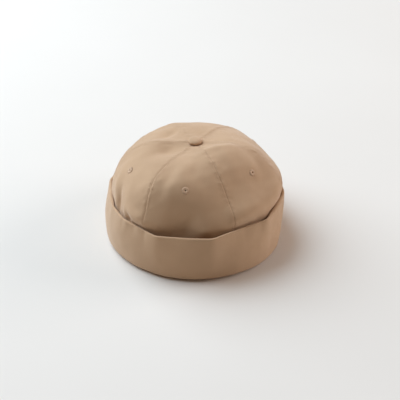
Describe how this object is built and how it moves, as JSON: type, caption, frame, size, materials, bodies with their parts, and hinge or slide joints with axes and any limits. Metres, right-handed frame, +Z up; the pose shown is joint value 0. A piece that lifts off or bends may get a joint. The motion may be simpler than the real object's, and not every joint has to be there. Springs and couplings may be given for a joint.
{
  "type": "docker cap",
  "caption": "Brimless cloth docker cap with a soft panelled crown, eyelets, a covered top button and a deep turned-up cuff, open below for the head.",
  "frame": {"origin": "on the surface that the cap stands on, under the middle of the cuff", "axes": "+Z up through the button, -Y towards the front seam, +X to the right as the cap is seen from the front"},
  "size_m": [0.1981, 0.2054, 0.1169],
  "materials": {
    "twill": "washed cotton twill, tan, matte",
    "cuff_twill": "the same twill, doubled",
    "thread": "tan embroidery thread"
  },
  "bodies": {
    "root": {"crown_panel_1": "twill", "crown_panel_2": "twill", "crown_panel_3": "twill", "crown_panel_4": "twill", "crown_panel_5": "twill", "crown_panel_6": "twill", "eyelet_1": "thread", "eyelet_2": "thread", "eyelet_3": "thread", "eyelet_4": "thread", "eyelet_5": "thread", "eyelet_6": "thread", "top_button": "twill", "cuff": "cuff_twill"}
  },
  "joints": []
}
